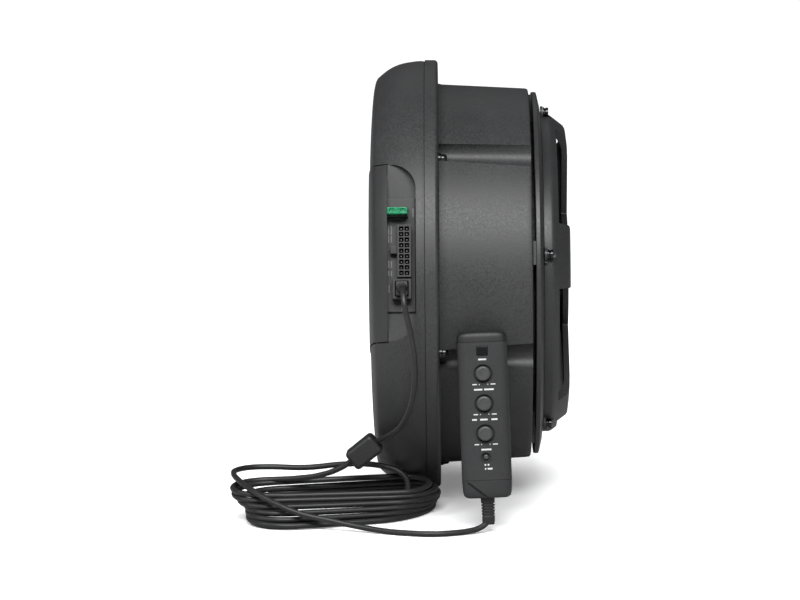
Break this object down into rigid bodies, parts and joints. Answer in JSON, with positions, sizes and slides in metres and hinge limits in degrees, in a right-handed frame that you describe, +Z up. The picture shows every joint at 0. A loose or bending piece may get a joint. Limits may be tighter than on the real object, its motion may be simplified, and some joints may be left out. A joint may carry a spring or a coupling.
{
  "type": "powered car subwoofer",
  "caption": "Round powered subwoofer shaped to sit in a car's spare wheel, with a five-armed woofer guard, a connector bay, and a corded remote with knobs and a push button.",
  "frame": {"origin": "centre of the flat hub face of the woofer guard, where the spare wheel's hold-down bolt clamps the unit", "axes": "+X along the unit's axis out of the guard, +Z up, -Y towards the side where the remote stands; the unit is rolled 14.5 degrees about X so its connector bay looks a little upwards"},
  "size_m": [0.259, 0.3654, 0.3419],
  "materials": {
    "case": "fine moulded grain",
    "fastener": "black oxide",
    "pressed_steel": "zinc plated",
    "cone_paper": "matte coated paper",
    "rubber": "matte",
    "spider_cloth": "resin-stiffened weave",
    "copper_wire": "enamelled copper",
    "ferrite_ceramic": "sintered",
    "circuit_board": "solder mask",
    "aluminium": "extruded",
    "capacitor_sleeve": "shrink sleeve",
    "dark_plastic": "fine grain",
    "black_plastic": "smooth matte",
    "fuse_plastic": "clear green",
    "led_lens": "clear red",
    "badge_plastic": "satin silver-grey, blank",
    "knob_plastic": "satin",
    "cable_sheath": "soft PVC"
  },
  "bodies": {
    "case": {"dome_shell": "case", "crown_panel": "case", "drum_shell": "case", "woofer_ring": "case", "guard": "case", "case_screw_1": "fastener", "case_screw_2": "fastener", "case_screw_3": "fastener", "case_screw_4": "fastener", "case_screw_5": "fastener", "case_screw_6": "fastener", "guard_bolt_1": "fastener", "guard_bolt_2": "fastener", "guard_bolt_3": "fastener", "guard_bolt_4": "fastener", "guard_bolt_5": "fastener", "basket": "pressed_steel", "top_plate": "pressed_steel", "back_plate": "pressed_steel", "pot_1": "pressed_steel", "pot_2": "pressed_steel", "pot_3": "pressed_steel", "surround": "rubber", "case_gasket": "rubber", "spider": "spider_cloth", "inductor": "copper_wire", "magnet": "ferrite_ceramic", "amp_board": "circuit_board", "remote_board": "circuit_board", "heat_sink": "aluminium", "capacitor_1": "capacitor_sleeve", "capacitor_2": "capacitor_sleeve", "terminal_panel": "dark_plastic", "plug": "dark_plastic", "remote_front": "dark_plastic", "remote_back": "dark_plastic", "remote_top_cap": "dark_plastic", "remote_bottom_cap": "dark_plastic", "fuse_holder": "black_plastic", "harness_socket": "black_plastic", "remote_jack": "black_plastic", "strain_relief": "black_plastic", "ferrite_bead": "black_plastic", "power_led": "led_lens", "badge_window": "badge_plastic", "lead_upper": "cable_sheath", "lead_mid": "cable_sheath", "lead_lower": "cable_sheath", "cable_coil": "cable_sheath"},
    "cone_assembly": {"cone": "cone_paper", "dust_cap": "cone_paper", "voice_coil": "copper_wire"},
    "fuse": {"fuse": "fuse_plastic"},
    "level_knob": {"level_knob": "knob_plastic"},
    "boost_knob": {"boost_knob": "knob_plastic"},
    "crossover_knob": {"crossover_knob": "knob_plastic"},
    "phase_button": {"phase_button": "knob_plastic"}
  },
  "joints": [
    {"name": "cone_travel", "type": "slide", "parent": "case", "child": "cone_assembly", "axis": [1, 0, 0], "range_m": [-0.008, 0.008], "stiffness_N_per_m": 2500, "deforming": ["surround", "spider"]},
    {"name": "fuse_pull", "type": "slide", "parent": "case", "child": "fuse", "axis": [0, -0.9681, 0.2504], "range_m": [0, 0.015]},
    {"name": "level_turn", "type": "hinge", "parent": "case", "child": "level_knob", "pos_m": [-0.06915, -0.17493, -0.05021], "axis": [-0.0046, -0.989, 0.1477], "range_deg": [-135, 135]},
    {"name": "boost_turn", "type": "hinge", "parent": "case", "child": "boost_knob", "pos_m": [-0.06845, -0.17827, -0.07255], "axis": [-0.0046, -0.989, 0.1477], "range_deg": [-135, 135]},
    {"name": "crossover_turn", "type": "hinge", "parent": "case", "child": "crossover_knob", "pos_m": [-0.06775, -0.18161, -0.09489], "axis": [-0.0046, -0.989, 0.1477], "range_deg": [-135, 135]},
    {"name": "phase_press", "type": "slide", "parent": "case", "child": "phase_button", "axis": [0.0046, 0.989, -0.1477], "range_m": [0, 0.0015], "stiffness_N_per_m": 400, "springref_m": -0.0005}
  ]
}
